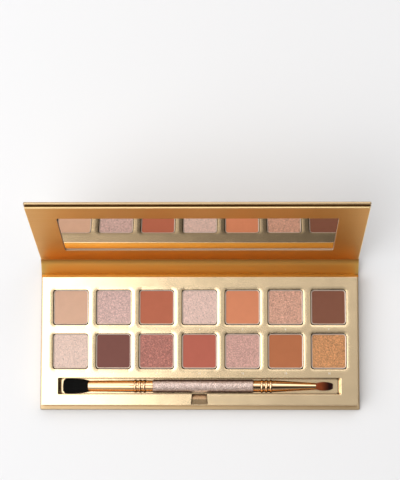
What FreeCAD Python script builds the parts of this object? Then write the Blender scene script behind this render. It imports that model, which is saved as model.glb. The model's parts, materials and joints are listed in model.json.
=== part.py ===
import FreeCAD, Part
import math
import os

# Eyeshadow palette in a book-style case of foil-wrapped board.
# A formed tray on the base holds fourteen pans and a double-ended brush.
# A narrow spine board joins the base to the lid, which carries a framed mirror.
# Frame: X to the right, Y to the back, Z up, in millimetres.
# The origin is the centre of the base's underside.
# The case is drawn open, with its spine laid back and its lid leaning past upright.

# Case boards
BOARD_T = 1.4
WRAP_T = 0.2
BASE_SIDE_LIP = 1.6
BASE_FRONT_LIP = 2.5
BASE_REAR_LIP = 1.0
FOLD_GAP = 0.2
FOLD_CLEARANCE = 0.25
CLOSING_GAP = 0.3
SPINE_REST_DEG = 34.0
LID_OPEN_DEG = 106.0

# Lid liner, mirror and closing magnets
LINER_T = 1.6
LINER_SIDE_LIP = 0.4
LINER_FRONT_LIP = 2.4
LINER_REAR_CLEARANCE = 0.5
WINDOW_SIDE_MARGIN = 15.4
WINDOW_FRONT_MARGIN = 13.4
WINDOW_REAR_MARGIN = 14.1
WINDOW_CORNER_R = 0.8
MIRROR_T = 0.8
MIRROR_CLEARANCE = 0.15
TAPE_T = 0.1
TAPE_MARGIN = 3.0
MAGNET_D = 5.0
LID_MAGNET_T = 1.0
TRAY_MAGNET_T = 2.0
MAGNET_CLEARANCE = 0.1

# Pans and pressed powder
PAN_COLUMNS = 7
PAN_ROWS = 2
PAN_SIDE = 19.3
PAN_HEIGHT = 4.0
PAN_WALL = 0.3
PAN_CORNER_R = 1.3
PAN_CLEARANCE = 0.4
# Glued pans sit a little to the right and to the rear in their pockets
PAN_SHIFT_X = 0.06
PAN_SHIFT_Y = 0.12
PAN_RECESS = 0.5
POWDER_DROP = 0.25
POWDER_EDGE_R = 0.3
GLUE_T = 0.2
GLUE_MARGIN = 3.5

# Tray
TRAY_WALL = 0.5
WEB_X = 4.0
WEB_Y = 4.5
TRAY_SIDE_MARGIN = 6.05
TRAY_REAR_MARGIN = 7.25
WELL_WEB = 4.85
FRONT_STRIP = 6.2
WELL_END_BLOCK = 8.7
WELL_CORNER_R = 0.6
WELL_END_SLOPE = 0.8
POCKET_LIP_W = 1.95
POCKET_LIP_DROP = 0.14
LIP_SHAPE = ((1.0, 0.0), (0.75, 0.06), (0.5, 0.25), (0.25, 0.56), (0.0, 1.0))
WELL_LIP_R = 0.3
TRAY_EDGE_R = 0.4
RAMP_REAR_W = 8.2
RAMP_FRONT_W = 9.6
RAMP_DEPTH = 5.0
RAMP_FRONT_LAND = 0.5

# Brush, from the tip of the wide tuft to the tip of the narrow one
WIDE_TUFT_LENGTH = 14.5
WIDE_FERRULE_LENGTH = 36.2
HANDLE_LENGTH = 56.3
NARROW_FERRULE_LENGTH = 35.0
NARROW_TUFT_LENGTH = 9.8
HANDLE_D = 7.4
HANDLE_CHAMFER = 0.4
TENON_LENGTH = 12.0
FERRULE_D = 6.5
FERRULE_WALL = 0.3
FERRULE_FIT = 0.05
FERRULE_STRAIGHT = 12.5
WIDE_MOUTH_D = 6.1
NARROW_MOUTH_D = 3.7
RING_COUNT = 3
RING_FIRST = 4.8
RING_PITCH = 2.5
RING_WIDTH = 1.5
RING_HEIGHT = 0.45
WIDE_TUFT_W = 8.6
WIDE_TUFT_T = 7.0
WIDE_BELLY_AT = 9.6
WIDE_SHOULDER_AT = 13.3
WIDE_SHOULDER_W = 8.3
NARROW_TUFT_W = 5.1
NARROW_BELLY_AT = 6.0
NARROW_SHOULDER_AT = 8.4
NARROW_SHOULDER_W = 4.5
TUFT_ROOT_LENGTH = 6.0
BRUSH_SIDE_CLEARANCE = 0.2
BRUSH_REST_GAP = 0.1
BRUSH_RECESS = 0.4
BRUSH_LEFT_GAP = 2.1
BRUSH_RIGHT_GAP = 4.0

# How far a cutting solid runs past the face that it opens
OVERCUT = 1.0

# How near two places are for them to count as one
SAME = 0.01

# Pockets, set by the pans that they hold
pocket_side = PAN_SIDE + 2 * PAN_CLEARANCE
pocket_corner_r = PAN_CORNER_R + PAN_CLEARANCE
pocket_depth = GLUE_T + PAN_HEIGHT + PAN_RECESS
pitch_x = pocket_side + WEB_X
pitch_y = pocket_side + WEB_Y

# Brush well, set by the brush that it holds
brush_length = (WIDE_TUFT_LENGTH + WIDE_FERRULE_LENGTH + HANDLE_LENGTH
                + NARROW_FERRULE_LENGTH + NARROW_TUFT_LENGTH)
well_length = BRUSH_LEFT_GAP + brush_length + BRUSH_RIGHT_GAP
well_width = max(HANDLE_D, WIDE_TUFT_W) + 2 * BRUSH_SIDE_CLEARANCE

# Tray, set by the pockets and the well
pan_grid_width = (PAN_COLUMNS - 1) * pitch_x + pocket_side
pan_grid_depth = (PAN_ROWS - 1) * pitch_y + pocket_side
tray_width = max(pan_grid_width + 2 * TRAY_SIDE_MARGIN, well_length + 2 * WELL_END_BLOCK)
tray_depth = TRAY_REAR_MARGIN + pan_grid_depth + WELL_WEB + well_width + FRONT_STRIP
tray_height = TRAY_WALL + BRUSH_REST_GAP + HANDLE_D + BRUSH_RECESS

# Base and tray places
base_width = tray_width + 2 * BASE_SIDE_LIP
base_depth = BASE_FRONT_LIP + tray_depth + BASE_REAR_LIP
base_front = -base_depth / 2
base_rear = base_depth / 2
tray_front = base_front + BASE_FRONT_LIP
tray_rear = base_rear - BASE_REAR_LIP
tray_bottom = BOARD_T
tray_top = tray_bottom + tray_height
pocket_floor = tray_top - pocket_depth
well_floor = tray_bottom + TRAY_WALL
well_front = tray_front + FRONT_STRIP
well_rear = well_front + well_width
well_y = (well_front + well_rear) / 2
first_row_y = tray_rear - TRAY_REAR_MARGIN - pocket_side / 2
first_column_x = -(PAN_COLUMNS - 1) * pitch_x / 2
magnet_x = (well_length + tray_width) / 4

# Hinge axes, at the boards' middle planes
half_board = BOARD_T / 2
hinge_gap = half_board + FOLD_GAP
fold_radius = hinge_gap - FOLD_CLEARANCE
hinge_spacing = BOARD_T + tray_height + CLOSING_GAP + LINER_T
base_hinge_y = base_rear + hinge_gap
base_hinge_z = half_board
spine_rest = math.radians(SPINE_REST_DEG)
lid_hinge_y = base_hinge_y + hinge_spacing * math.cos(spine_rest)
lid_hinge_z = base_hinge_z + hinge_spacing * math.sin(spine_rest)
lid_rise_deg = 180.0 - LID_OPEN_DEG

# Lid sizes, measured from its hinge axis
lid_width = base_width
lid_reach = base_hinge_y - base_front
liner_width = lid_width - 2 * LINER_SIDE_LIP
liner_rear = half_board + LINER_REAR_CLEARANCE
liner_front = lid_reach - LINER_FRONT_LIP
window_half_width = liner_width / 2 - WINDOW_SIDE_MARGIN
window_rear = liner_rear + WINDOW_REAR_MARGIN
window_front = liner_front - WINDOW_FRONT_MARGIN
lid_magnet_y = base_hinge_y - well_y

# Brush places
brush_z = well_floor + BRUSH_REST_GAP + HANDLE_D / 2
brush_left_tip = -well_length / 2 + BRUSH_LEFT_GAP
handle_left = brush_left_tip + WIDE_TUFT_LENGTH + WIDE_FERRULE_LENGTH
handle_right = handle_left + HANDLE_LENGTH
ferrule_bore_r = FERRULE_D / 2 - FERRULE_WALL
tenon_r = ferrule_bore_r - FERRULE_FIT

X_AXIS = FreeCAD.Vector(1, 0, 0)
Z_AXIS = FreeCAD.Vector(0, 0, 1)
ORIGIN = FreeCAD.Vector(0, 0, 0)


def box(half_width, y_low, y_high, z_low, z_high):
    """A box centred on X = 0."""
    corner = FreeCAD.Vector(-half_width, y_low, z_low)
    return Part.makeBox(2 * half_width, y_high - y_low, z_high - z_low, corner)


def rounded_block(center_x, y_low, y_high, half_width, corner_r, z_low, z_high):
    """A block with its four upright edges rounded."""
    block = box(half_width, y_low, y_high, z_low, z_high)
    upright = [edge for edge in block.Edges if edge.BoundBox.ZLength > edge.BoundBox.DiagonalLength / 2]
    block = block.makeFillet(corner_r, upright)
    block.translate(FreeCAD.Vector(center_x, 0, 0))
    return block


def square_block(center, side, corner_r, z_low, z_high):
    """A rounded block with a square plan, centred on a place in the tray."""
    x, y = center
    return rounded_block(x, y - side / 2, y + side / 2, side / 2, corner_r, z_low, z_high)


def disc(diameter, thickness, x, y, z_low):
    return Part.makeCylinder(diameter / 2, thickness, FreeCAD.Vector(x, y, z_low), Z_AXIS)


def on_spine(shape):
    """Swing a flat piece, drawn from the base hinge axis, to the spine's place."""
    shape.rotate(ORIGIN, X_AXIS, SPINE_REST_DEG)
    shape.translate(FreeCAD.Vector(0, base_hinge_y, base_hinge_z))
    return shape


def on_lid(shape):
    """Swing a flat piece, drawn face up from the lid hinge axis, to the lid's place."""
    shape.rotate(ORIGIN, X_AXIS, lid_rise_deg)
    shape.translate(FreeCAD.Vector(0, lid_hinge_y, lid_hinge_z))
    return shape


def pocket_centers():
    """Pocket places in reading order, from the rear left to the front right."""
    centers = []
    for row in range(PAN_ROWS):
        for column in range(PAN_COLUMNS):
            centers.append((first_column_x + column * pitch_x, first_row_y - row * pitch_y))
    return centers


def pan_centers():
    """Where the glued pans sit, a little off the middle of their pockets."""
    return [(x + PAN_SHIFT_X, y + PAN_SHIFT_Y) for x, y in pocket_centers()]


def wrapped_board(width, y_low, y_high, low_end_open, high_end_open):
    """A grey board and its foil wrap, about Z = 0. The wrap is open at the hinge ends."""
    skin = box(width / 2, y_low, y_high, -half_board, half_board)
    core_low = y_low if low_end_open else y_low + WRAP_T
    core_high = y_high if high_end_open else y_high - WRAP_T
    core_half_width = width / 2 - WRAP_T
    core_half_t = half_board - WRAP_T
    core = box(core_half_width, core_low, core_high, -core_half_t, core_half_t)
    cut_low = core_low - OVERCUT if low_end_open else core_low
    cut_high = core_high + OVERCUT if high_end_open else core_high
    wrap = skin.cut(box(core_half_width, cut_low, cut_high, -core_half_t, core_half_t))
    return core, wrap


def make_base():
    board, wrap = wrapped_board(base_width, base_front, base_rear, False, True)
    for shape in (board, wrap):
        shape.translate(FreeCAD.Vector(0, 0, half_board))
    return {"base_board": board, "base_wrap": wrap}


def make_spine():
    board, wrap = wrapped_board(lid_width, hinge_gap, hinge_spacing - hinge_gap, True, True)
    return {"spine_board": on_spine(board), "spine_wrap": on_spine(wrap)}


def fold_bead(distance):
    """The folded foil of one hinge, drawn as a bead round its axis."""
    start = FreeCAD.Vector(-lid_width / 2, distance, 0)
    return on_spine(Part.makeCylinder(fold_radius, lid_width, start, X_AXIS))


def make_lid():
    board, wrap = wrapped_board(lid_width, hinge_gap, lid_reach, True, False)
    return {"lid_board": on_lid(board), "lid_wrap": on_lid(wrap)}


def lid_magnet_discs(diameter, thickness):
    return [disc(diameter, thickness, side * magnet_x, lid_magnet_y, half_board) for side in (-1, 1)]


def make_liner():
    """The framed liner: a board with the mirror's window and blind magnet holes behind."""
    low = half_board
    high = half_board + LINER_T
    liner = box(liner_width / 2, liner_rear, liner_front, low, high)
    window = rounded_block(0, window_rear, window_front, window_half_width, WINDOW_CORNER_R,
                           low - OVERCUT, high + OVERCUT)
    holes = lid_magnet_discs(MAGNET_D + 2 * MAGNET_CLEARANCE, LID_MAGNET_T + MAGNET_CLEARANCE)
    return on_lid(liner.cut([window] + holes))


def window_slab(margin, corner_r, z_low, z_high):
    """A slab set in from the window's edges by a margin."""
    return rounded_block(0, window_rear + margin, window_front - margin, window_half_width - margin,
                         corner_r, z_low, z_high)


def make_mirror():
    tape_top = half_board + TAPE_T
    mirror = window_slab(MIRROR_CLEARANCE, WINDOW_CORNER_R, tape_top, tape_top + MIRROR_T)
    tape = window_slab(MIRROR_CLEARANCE + TAPE_MARGIN, WINDOW_CORNER_R, half_board, tape_top)
    return {"mirror": on_lid(mirror), "mirror_tape": on_lid(tape)}


def ramp_solid(grow):
    """The finger ramp's space, from the front strip down into the well, grown by a wall."""
    sections = []
    places = ((tray_front + RAMP_FRONT_LAND, RAMP_FRONT_W, tray_top),
              (well_front + OVERCUT, RAMP_REAR_W, tray_top - RAMP_DEPTH))
    for y, width, floor in places:
        half = width / 2 + grow
        low = floor - grow
        high = tray_top + OVERCUT
        corners = [(-half, low), (half, low), (half, high), (-half, high), (-half, low)]
        sections.append(Part.makePolygon([FreeCAD.Vector(x, y, z) for x, z in corners]))
    return Part.makeLoft(sections, True, True)


def well_block(grow, z_low):
    """The brush well's space, grown by a wall. Its end walls slope in towards the floor."""
    z_high = tray_top + OVERCUT
    slope = WELL_END_SLOPE / (tray_top - well_floor)
    sections = []
    for z in (z_low, z_high):
        half = well_length / 2 + grow + slope * (z - tray_top)
        front = well_front - grow
        rear = well_rear + grow
        corners = [(-half, front), (half, front), (half, rear), (-half, rear), (-half, front)]
        sections.append(Part.makePolygon([FreeCAD.Vector(x, y, z) for x, y in corners]))
    block = Part.makeLoft(sections, True, True)
    upright = [edge for edge in block.Edges if edge.BoundBox.ZLength > (z_high - z_low) / 2]
    return block.makeFillet(WELL_CORNER_R + grow, upright)


def rim_edges(tray, half_width, y_low, y_high):
    """The tray's edges in the plane of its deck, within a band about X = 0."""
    rims = []
    for edge in tray.Edges:
        span = edge.BoundBox
        flat = span.ZMin > tray_top - SAME and span.ZMax < tray_top + SAME
        across = span.XMin > -half_width - SAME and span.XMax < half_width + SAME
        along = span.YMin > y_low - SAME and span.YMax < y_high + SAME
        if flat and across and along:
            rims.append(edge)
    return rims


def pocket_lip():
    """The shallow dish that rolls the deck down into a pocket, about X = 0 and Y = 0."""
    sections = []
    for width_share, drop_share in LIP_SHAPE:
        out = POCKET_LIP_W * width_share
        z = tray_top - POCKET_LIP_DROP * drop_share
        block = square_block((0, 0), pocket_side + 2 * out, pocket_corner_r + out, z - OVERCUT, z)
        top = max(block.Faces, key=lambda face: face.CenterOfMass.z)
        sections.append(top.OuterWire)
    return Part.makeLoft(sections, True, False)


def make_tray():
    """A thin formed tray: pockets and well let down from its deck, open underneath."""
    pockets = [square_block(center, pocket_side, pocket_corner_r, pocket_floor, tray_top + OVERCUT)
               for center in pocket_centers()]
    tray = box(tray_width / 2, tray_front, tray_rear, tray_bottom, tray_top)
    tray = tray.makeFillet(TRAY_EDGE_R, rim_edges(tray, tray_width / 2, tray_front, tray_rear))
    tray = tray.cut(pockets)
    dish = pocket_lip()
    lips = [dish.translated(FreeCAD.Vector(x, y, 0)) for x, y in pocket_centers()]
    tray = tray.cut(lips)
    tray = tray.cut(well_block(0, well_floor))
    tray = tray.makeFillet(WELL_LIP_R, rim_edges(tray, well_length / 2, well_front, well_rear))
    tray = tray.cut(ramp_solid(0))
    hollow = box(tray_width / 2 - TRAY_WALL, tray_front + TRAY_WALL, tray_rear - TRAY_WALL,
                 tray_bottom - OVERCUT, tray_top - TRAY_WALL)
    walls = [square_block(center, pocket_side + 2 * TRAY_WALL, pocket_corner_r + TRAY_WALL,
                          pocket_floor - TRAY_WALL, tray_top + OVERCUT) for center in pocket_centers()]
    walls.append(well_block(TRAY_WALL, tray_bottom - 2 * OVERCUT))
    walls.append(ramp_solid(TRAY_WALL))
    return tray.cut(hollow.cut(walls))


def make_tray_magnets():
    """Two discs glued under the deck, beside the ends of the brush well."""
    low = tray_top - TRAY_WALL - TRAY_MAGNET_T
    return Part.makeCompound([disc(MAGNET_D, TRAY_MAGNET_T, side * magnet_x, well_y, low)
                              for side in (-1, 1)])


def make_pan(center):
    low = pocket_floor + GLUE_T
    rim = low + PAN_HEIGHT
    pan = square_block(center, PAN_SIDE, PAN_CORNER_R, low, rim)
    inside = square_block(center, PAN_SIDE - 2 * PAN_WALL, PAN_CORNER_R - PAN_WALL,
                          low + PAN_WALL, rim + OVERCUT)
    return pan.cut(inside)


def make_powder(center):
    """A cake of pressed powder that fills its pan, with a softened top edge."""
    low = pocket_floor + GLUE_T + PAN_WALL
    high = pocket_floor + GLUE_T + PAN_HEIGHT - POWDER_DROP
    cake = square_block(center, PAN_SIDE - 2 * PAN_WALL, PAN_CORNER_R - PAN_WALL, low, high)
    rim = [edge for edge in cake.Edges if edge.BoundBox.ZMin > high - POWDER_EDGE_R]
    return cake.makeFillet(POWDER_EDGE_R, rim)


def make_glue_pads():
    side = PAN_SIDE - 2 * GLUE_MARGIN
    return Part.makeCompound([square_block(center, side, PAN_CORNER_R, pocket_floor,
                                           pocket_floor + GLUE_T) for center in pan_centers()])


def lathe(edges):
    """Turn a closed outline in the XY plane about the X axis."""
    face = Part.Face(Part.Wire(edges))
    return face.revolve(ORIGIN, X_AXIS, 360)


def outline(points):
    """Straight edges through radius points along the brush's axis."""
    places = [FreeCAD.Vector(x, radius, 0) for x, radius in points]
    return [Part.LineSegment(a, b).toShape() for a, b in zip(places, places[1:])]


def arc(start, middle, end):
    points = [FreeCAD.Vector(x, radius, 0) for x, radius in (start, middle, end)]
    return Part.Arc(*points).toShape()


def place_brush_piece(shape, x, points_left):
    """Set a piece, drawn along +X from its own start, on the brush's axis."""
    if points_left:
        shape.rotate(ORIGIN, Z_AXIS, 180)
    shape.translate(FreeCAD.Vector(x, well_y, brush_z))
    return shape


def make_handle():
    """The handle, with a tenon at each end that goes into a ferrule."""
    radius = HANDLE_D / 2
    end = HANDLE_LENGTH
    edges = outline([(-TENON_LENGTH, 0), (-TENON_LENGTH, tenon_r), (0, tenon_r),
                     (0, radius - HANDLE_CHAMFER), (HANDLE_CHAMFER, radius),
                     (end - HANDLE_CHAMFER, radius), (end, radius - HANDLE_CHAMFER),
                     (end, tenon_r), (end + TENON_LENGTH, tenon_r), (end + TENON_LENGTH, 0),
                     (-TENON_LENGTH, 0)])
    return place_brush_piece(lathe(edges), handle_left, False)


def make_ferrule(length, mouth_d):
    """A metal tube from the handle to the tuft, with crimped rings near the handle."""
    outer_r = FERRULE_D / 2
    mouth_r = mouth_d / 2
    mouth_bore_r = mouth_r - FERRULE_WALL
    edges = outline([(0, ferrule_bore_r), (0, outer_r)])
    here = (0, outer_r)
    for ring in range(RING_COUNT):
        middle = RING_FIRST + ring * RING_PITCH
        ring_start = (middle - RING_WIDTH / 2, outer_r)
        ring_end = (middle + RING_WIDTH / 2, outer_r)
        edges += outline([here, ring_start])
        edges.append(arc(ring_start, (middle, outer_r + RING_HEIGHT), ring_end))
        here = ring_end
    edges += outline([here, (FERRULE_STRAIGHT, outer_r), (length, mouth_r), (length, mouth_bore_r),
                      (FERRULE_STRAIGHT, ferrule_bore_r), (0, ferrule_bore_r)])
    return lathe(edges)


def make_tuft(length, mouth_d, belly, shoulder):
    """A bristle tuft: a root in the ferrule, a belly and a rounded end.

    The belly and the shoulder are places along the tuft, each with the tuft's radius there.
    """
    root_r = mouth_d / 2 - FERRULE_WALL - FERRULE_FIT
    side = Part.BSplineCurve()
    side.interpolate([FreeCAD.Vector(x, radius, 0) for x, radius in ((0, root_r), belly, shoulder)])
    reach = length - shoulder[0]
    bend = (shoulder[0] + reach * math.sqrt(0.5), shoulder[1] * math.sqrt(0.5))
    tip = (length, 0)
    end = Part.BSplineCurve()
    end.interpolate([FreeCAD.Vector(x, radius, 0) for x, radius in (shoulder, bend, tip)])
    edges = outline([(-TUFT_ROOT_LENGTH, 0), (-TUFT_ROOT_LENGTH, root_r), (0, root_r)])
    edges += [side.toShape(), end.toShape()]
    edges += outline([tip, (-TUFT_ROOT_LENGTH, 0)])
    return lathe(edges)


def make_brush():
    wide_mouth_x = handle_left - WIDE_FERRULE_LENGTH
    narrow_mouth_x = handle_right + NARROW_FERRULE_LENGTH
    wide_tuft = make_tuft(WIDE_TUFT_LENGTH, WIDE_MOUTH_D, (WIDE_BELLY_AT, WIDE_TUFT_W / 2),
                          (WIDE_SHOULDER_AT, WIDE_SHOULDER_W / 2))
    flatten = FreeCAD.Matrix()
    flatten.scale(1, 1, WIDE_TUFT_T / WIDE_TUFT_W)
    wide_tuft = wide_tuft.transformGeometry(flatten)
    narrow_tuft = make_tuft(NARROW_TUFT_LENGTH, NARROW_MOUTH_D, (NARROW_BELLY_AT, NARROW_TUFT_W / 2),
                            (NARROW_SHOULDER_AT, NARROW_SHOULDER_W / 2))
    return {
        "brush_handle": make_handle(),
        "wide_ferrule": place_brush_piece(make_ferrule(WIDE_FERRULE_LENGTH, WIDE_MOUTH_D),
                                          handle_left, True),
        "narrow_ferrule": place_brush_piece(make_ferrule(NARROW_FERRULE_LENGTH, NARROW_MOUTH_D),
                                            handle_right, False),
        "wide_bristles": place_brush_piece(wide_tuft, wide_mouth_x, True),
        "narrow_bristles": place_brush_piece(narrow_tuft, narrow_mouth_x, False),
    }


def make_palette():
    """Every piece of the palette, by name."""
    pieces = {}
    pieces.update(make_base())
    pieces["tray"] = make_tray()
    pieces["tray_magnets"] = make_tray_magnets()
    pieces["pan_glue_pads"] = make_glue_pads()
    for number, center in enumerate(pan_centers(), start=1):
        pieces["pan_%02d" % number] = make_pan(center)
        pieces["powder_%02d" % number] = make_powder(center)
    pieces.update(make_spine())
    pieces["base_fold"] = fold_bead(0)
    pieces["lid_fold"] = fold_bead(hinge_spacing)
    pieces.update(make_lid())
    pieces["lid_liner"] = make_liner()
    pieces["lid_magnets"] = Part.makeCompound(lid_magnet_discs(MAGNET_D, LID_MAGNET_T))
    on_lid(pieces["lid_magnets"])
    pieces.update(make_mirror())
    pieces.update(make_brush())
    return pieces


os.makedirs("parts", exist_ok=True)
for name, shape in make_palette().items():
    shape.exportStep("parts/" + name + ".step")
    print("%-16s solids %2d volume %9.2f valid %s" % (name, len(shape.Solids), shape.Volume, shape.isValid()))
print("base hinge y %.4f z %.4f" % (base_hinge_y, base_hinge_z))
print("lid hinge y %.4f z %.4f" % (lid_hinge_y, lid_hinge_z))
print("closed height %.2f base %.2f x %.2f" % (hinge_spacing + BOARD_T, base_width, base_depth))
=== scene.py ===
import json
import math
from functools import partial

import bmesh
import bpy
from mathutils import Matrix, Vector, noise


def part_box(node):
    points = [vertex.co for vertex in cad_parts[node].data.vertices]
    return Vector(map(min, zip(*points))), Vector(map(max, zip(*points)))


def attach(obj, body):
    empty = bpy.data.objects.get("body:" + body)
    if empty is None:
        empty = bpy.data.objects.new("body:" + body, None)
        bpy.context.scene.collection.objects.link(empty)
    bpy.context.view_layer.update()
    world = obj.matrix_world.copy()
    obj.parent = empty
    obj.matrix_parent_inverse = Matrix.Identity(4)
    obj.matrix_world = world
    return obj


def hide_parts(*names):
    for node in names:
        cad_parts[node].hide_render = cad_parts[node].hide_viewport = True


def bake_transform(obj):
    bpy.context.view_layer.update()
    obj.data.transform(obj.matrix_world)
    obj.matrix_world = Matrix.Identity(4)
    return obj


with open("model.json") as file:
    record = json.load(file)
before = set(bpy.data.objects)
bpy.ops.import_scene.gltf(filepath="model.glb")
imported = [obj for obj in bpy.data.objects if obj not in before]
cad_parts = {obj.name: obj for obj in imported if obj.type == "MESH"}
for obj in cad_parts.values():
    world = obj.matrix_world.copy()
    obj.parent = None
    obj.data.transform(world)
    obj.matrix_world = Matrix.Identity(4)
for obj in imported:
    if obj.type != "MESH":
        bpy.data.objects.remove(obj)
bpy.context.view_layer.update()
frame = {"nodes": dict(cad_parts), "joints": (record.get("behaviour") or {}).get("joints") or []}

bl_info = {
    "name": "Eyeshadow Palette",
    "version": (1, 0, 0),
    "blender": (4, 5, 0),
    "location": "View3D > Sidebar > Palette",
    "description": "Dresses a book-style eyeshadow palette with foil, powder, mirror and brush",
    "category": "Object",
}

MM = 0.001
# Painted shade: the colour each finish is painted in a deep crease, where close surfaces shut out the light:
# foil, tray, and then ferrules, pans and handle
FOIL_SHADE = (0.56, 0.37, 0.13)
TRAY_SHADE = (0.31, 0.20, 0.11)
METAL_SHADE = (0.36, 0.20, 0.10)
PAN_COUNT = 14
PAN_NODES = ["pan_%02d" % number for number in range(1, PAN_COUNT + 1)]
POWDER_NODES = ["powder_%02d" % number for number in range(1, PAN_COUNT + 1)]

# Powder colours in reading order, as seen in plain light, and how strongly each one sparkles
POWDERS = [
    ("Peach", (0.847, 0.685, 0.585), 0.0),
    ("Mauve pink", (0.792, 0.664, 0.634), 0.85),
    ("Terracotta", (0.722, 0.415, 0.318), 0.0),
    ("Pale pink", (0.928, 0.797, 0.748), 1.25),
    ("Coral", (0.838, 0.535, 0.395), 0.0),
    ("Rose peach", (0.834, 0.634, 0.543), 1.3),
    ("Dark brown", (0.503, 0.324, 0.255), 0.0),
    ("Champagne", (0.922, 0.806, 0.747), 1.2),
    ("Plum brown", (0.480, 0.310, 0.279), 0.0),
    ("Dusty rose", (0.650, 0.416, 0.368), 1.15),
    ("Brick", (0.705, 0.390, 0.325), 0.0),
    ("Mauve taupe", (0.762, 0.590, 0.544), 0.8),
    ("Caramel", (0.695, 0.425, 0.285), 0.0),
    ("Gold copper", (0.756, 0.530, 0.342), 1.3),
]


def joint(name):
    """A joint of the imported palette, by name."""
    return next(item for item in frame["joints"] if item["name"] == name)


# Rest places of the three boards: each frame has its hinge axis as X and its board along +Y
BASE_AXIS = Vector(joint("spine_fold")["pos_m"])
LID_AXIS = Vector(joint("lid_fold")["pos_m"])
SPINE_REACH = LID_AXIS - BASE_AXIS
SPINE_ANGLE = math.atan2(SPINE_REACH.z, SPINE_REACH.y)
LID_TURN = math.radians(joint("lid_fold")["range_deg"][1])
BASE_FRAME = Matrix.Translation(BASE_AXIS)
SPINE_FRAME = BASE_FRAME @ Matrix.Rotation(SPINE_ANGLE, 4, "X")
LID_FRAME = Matrix.Translation(LID_AXIS) @ Matrix.Rotation(SPINE_ANGLE + LID_TURN, 4, "X")


def length_prop(name, description, millimetres):
    """A size that a user can change, kept in metres."""
    return bpy.props.FloatProperty(name=name, description=description, default=millimetres * MM,
                                   min=0.0, precision=5, unit="LENGTH")


def color_prop(name, description, color):
    """A surface colour, kept as it shows on screen."""
    return bpy.props.FloatVectorProperty(name=name, description=description, default=color, size=3,
                                         min=0.0, max=1.0, subtype="COLOR_GAMMA")


class PaletteSizes(bpy.types.PropertyGroup):
    """Sizes of the rounded edges and the small forms that dress the palette."""

    board_corner: length_prop("Board corner", "Corner radius of a wrapped board in plan", 0.9)
    board_edge: length_prop("Board edge", "Radius of the foil over a board's edge", 0.45)
    liner_edge: length_prop("Liner edge", "Radius of the foil over the liner's outer edge", 0.35)
    liner_overhang: length_prop("Liner overhang", "Foil lapped past the board at the lid's edge", 0.8)
    window_edge: length_prop("Window edge", "Radius of the foil over the window's edge", 0.35)
    window_corner: length_prop("Window corner", "Corner radius of the mirror's window", 0.8)
    foot_reach: length_prop("Foot reach", "Reach of the foot's foil to each side of its hinge", 1.6)
    foot_thickness: length_prop("Foot thickness", "Thickness of the foil at the spine's foot", 1.44)
    fold_reach: length_prop("Fold reach", "How far a folded strip runs to each side of its axis", 1.05)
    fold_thickness: length_prop("Fold thickness", "Thickness of the folded strip in a hinge", 1.0)
    pan_corner: length_prop("Pan corner", "Corner radius of a pan", 1.8)
    pan_wall: length_prop("Pan wall", "Wall thickness of a pan", 0.3)
    powder_edge: length_prop("Powder edge", "Softened radius of a powder cake's rim", 0.2)
    matte_relief: length_prop("Matte relief", "Height of the waves on a matte cake", 0.02)
    shimmer_relief: length_prop("Shimmer relief", "Height of the wrinkles on a shimmer cake", 0.12)
    number_height: length_prop("Number height", "Height of the numbers printed by the pans", 1.5)
    flake_radius: length_prop("Flake radius", "Radius of a glitter flake on the handle", 0.17)
    strand_radius: length_prop("Strand radius", "Radius of one bristle at its root", 0.055)


class PaletteColors(bpy.types.PropertyGroup):
    """Colours of the foil, metal, handle and bristles."""

    case_foil: color_prop("Case foil", "Gold foil paper on the case boards", (0.76, 0.66, 0.515))
    liner_foil: color_prop("Liner foil", "Gold foil inside the lid", (0.855, 0.632, 0.337))
    # Liner rim: a paler gold painted on the liner's outer edge as a highlight
    liner_rim: color_prop("Liner rim", "Pale gold on the liner's outer edge", (0.97, 0.86, 0.64))
    board_core: color_prop("Board core", "Cut board round the mirror's window", (0.77, 0.64, 0.52))
    spine_foil: color_prop("Spine foil", "Gold foil on the spine", (0.985, 0.80, 0.45))
    # Foot foil: a darker gold painted as shade at the spine's foot
    foot_foil: color_prop("Foot foil", "Gold foil pressed in at the spine's foot", (0.70, 0.45, 0.16))
    # Crease foil: a darker gold painted as shade in the hinge creases
    crease_foil: color_prop("Crease foil", "Gold foil in the two hinge creases", (0.74, 0.51, 0.25))
    tray_gold: color_prop("Tray gold", "Pale gold of the formed tray", (0.963, 0.857, 0.695))
    pan_tin: color_prop("Pan tin", "Bright metal of the pans", (0.88, 0.80, 0.73))
    rose_gold: color_prop("Rose gold", "Polished metal of the ferrules", (0.94, 0.785, 0.62))
    lacquer: color_prop("Lacquer", "Ground colour of the handle's glitter lacquer", (0.80, 0.68, 0.63))
    flake: color_prop("Flake", "Silver pink of the glitter flakes", (0.93, 0.845, 0.80))
    wide_bristle: color_prop("Wide bristle", "Black fibre of the wide tuft", (0.06, 0.055, 0.05))
    narrow_bristle: color_prop("Narrow bristle", "Brown fibre of the narrow tuft", (0.62, 0.30, 0.15))
    narrow_tip: color_prop("Narrow tip", "Dark ends of the narrow tuft", (0.20, 0.07, 0.07))
    print_ink: color_prop("Print ink", "Ink of the numbers on the tray", (0.97, 0.93, 0.85))
    floor: color_prop("Floor", "Plain pale floor", (0.925, 0.925, 0.93))


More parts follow.
